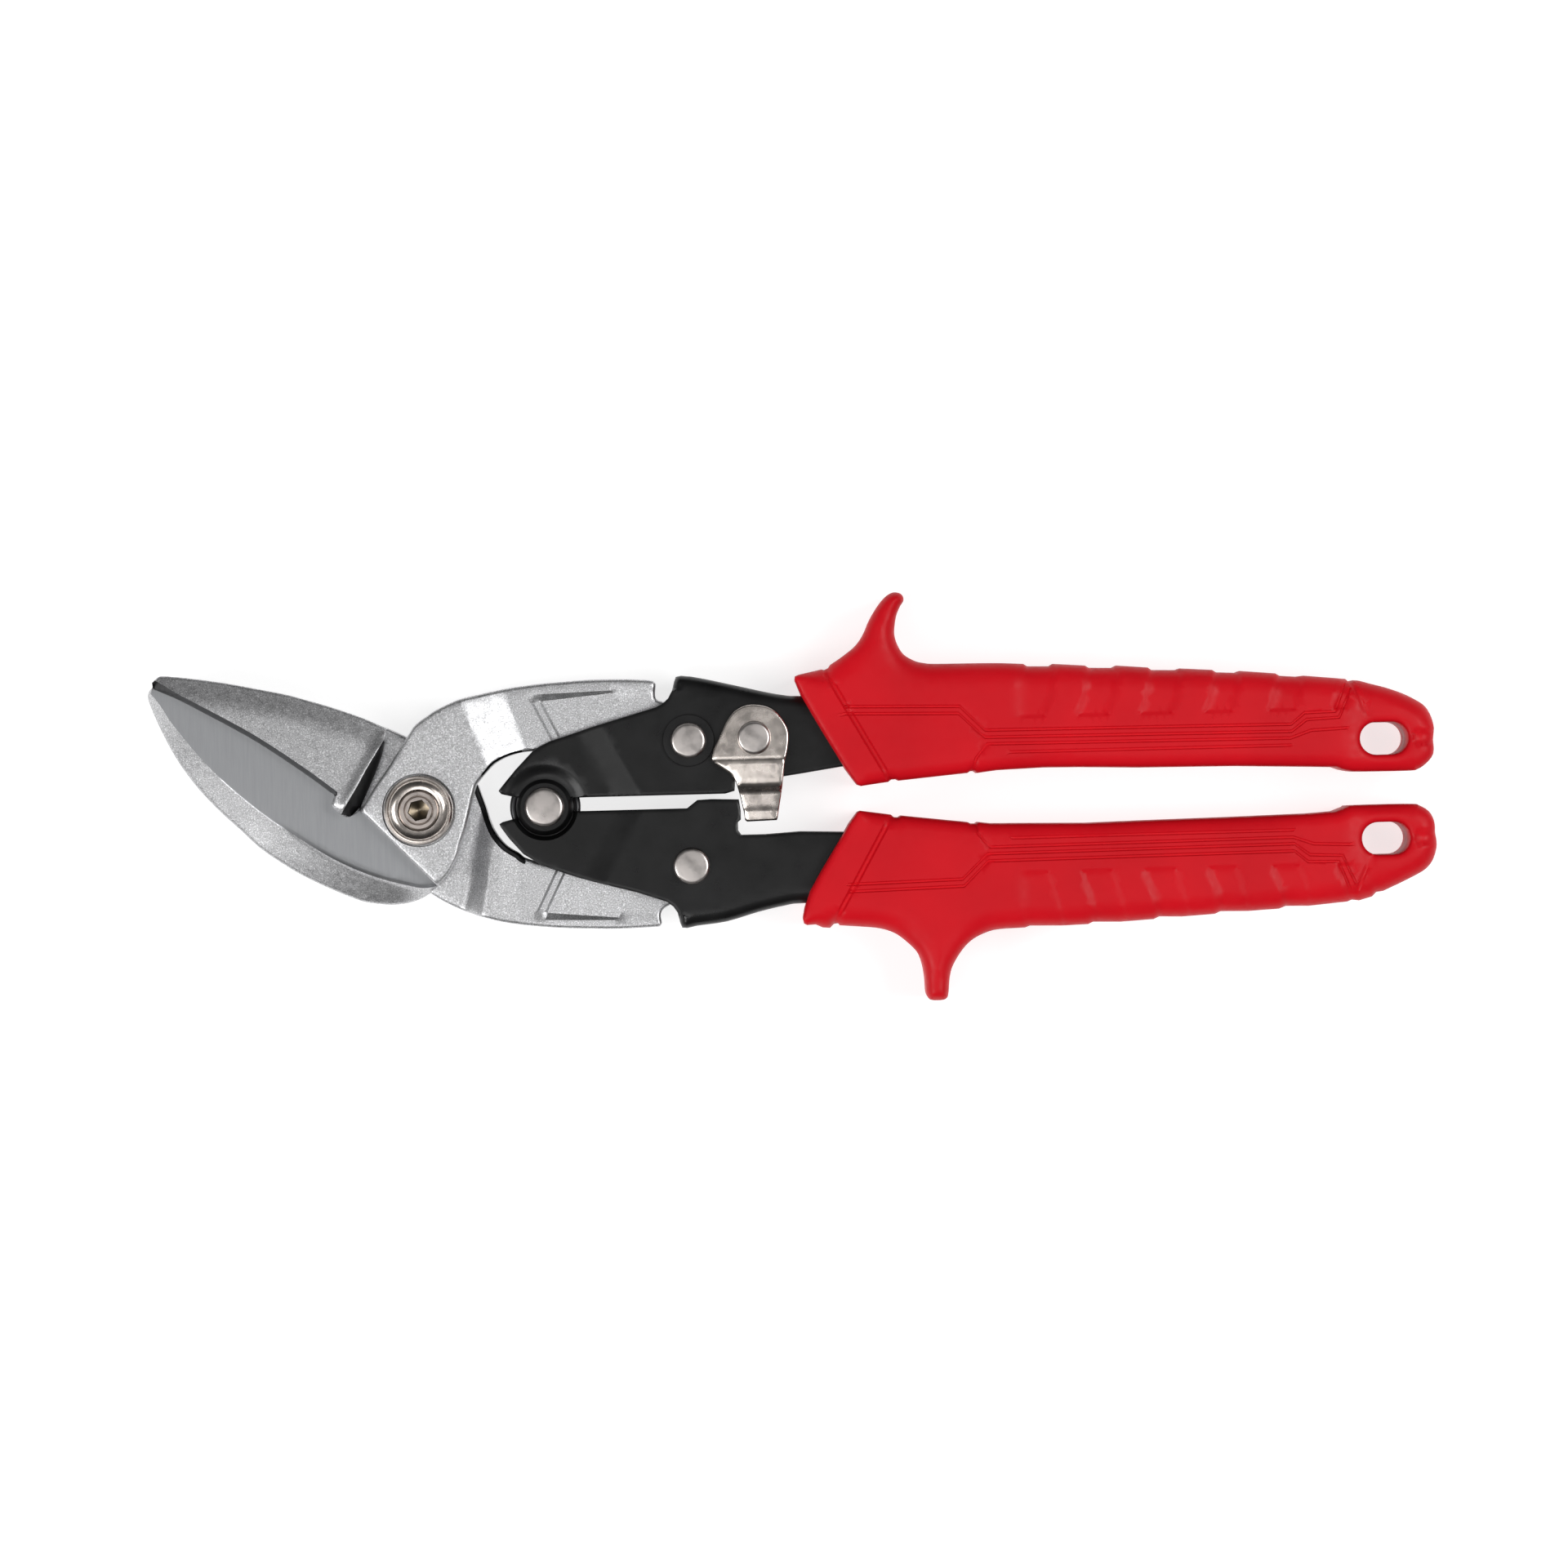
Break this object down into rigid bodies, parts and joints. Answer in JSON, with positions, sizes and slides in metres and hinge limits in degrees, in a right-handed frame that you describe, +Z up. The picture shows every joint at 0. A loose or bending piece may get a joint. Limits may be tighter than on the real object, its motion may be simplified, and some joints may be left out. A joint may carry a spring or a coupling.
{
  "type": "aviation snips",
  "caption": "Offset compound-action sheet metal snips with forged jaws, folded steel handles, moulded red grips and a swinging catch, shown closed.",
  "frame": {"origin": "centre of the bounding box's bottom face, where the closed tool lies flat", "axes": "+X from the jaws to the grip ends, +Z up along every pivot, towards the catch side"},
  "size_m": [0.2528, 0.0804, 0.019],
  "materials": {
    "forged_steel": "satin, sand-textured plating",
    "plated_steel": "bright nickel plating",
    "rivet_steel": "satin",
    "plain_steel": "machined",
    "spring_steel": "blackened",
    "coated_sheet": "black semi-gloss coat",
    "red_plastic": "satin moulded plastic"
  },
  "bodies": {
    "lower_handle": {"lower_handle": "coated_sheet", "lower_grip": "red_plastic", "handle_pivot_rivet": "rivet_steel", "handle_pivot_sleeve": "plain_steel", "handle_spring": "spring_steel", "lower_link_rivet": "rivet_steel", "lower_link_bush": "plain_steel", "lower_link_front_shim": "plain_steel", "lower_link_back_shim": "plain_steel"},
    "upper_handle": {"upper_handle": "coated_sheet", "upper_grip": "red_plastic", "upper_link_rivet": "rivet_steel", "upper_link_washer": "coated_sheet", "upper_link_bush": "plain_steel", "upper_link_front_shim": "plain_steel", "upper_link_back_shim": "plain_steel", "latch_rivet": "rivet_steel", "latch_washer": "plain_steel"},
    "front_blade": {"front_blade": "forged_steel", "pivot_bolt": "plated_steel", "pivot_nut": "plated_steel", "pivot_washer": "plated_steel"},
    "rear_blade": {"rear_blade": "forged_steel"},
    "latch": {"latch": "plated_steel"}
  },
  "joints": [
    {"name": "handle_pivot", "type": "hinge", "parent": "lower_handle", "child": "upper_handle", "pos_m": [-0.04845, -0.00022, 0.0095], "axis": [0, 0, 1], "range_deg": [0, 34]},
    {"name": "upper_link", "type": "hinge", "parent": "upper_handle", "child": "front_blade", "pos_m": [-0.01985, 0.01208, 0.0095], "axis": [0, 0, 1], "range_deg": [-8.4, 0]},
    {"name": "lower_link", "type": "hinge", "parent": "lower_handle", "child": "rear_blade", "pos_m": [-0.01985, -0.01252, 0.0095], "axis": [0, 0, 1], "range_deg": [0, 8.4]},
    {"name": "latch_pivot", "type": "hinge", "parent": "upper_handle", "child": "latch", "pos_m": [-0.00695, 0.01227, 0.0095], "axis": [0, 0, 1], "range_deg": [0, 20]}
  ],
  "couplings": [
    {"joint": "upper_link", "follows": "handle_pivot", "ratio": -0.244},
    {"joint": "lower_link", "follows": "handle_pivot", "ratio": 0.244}
  ]
}
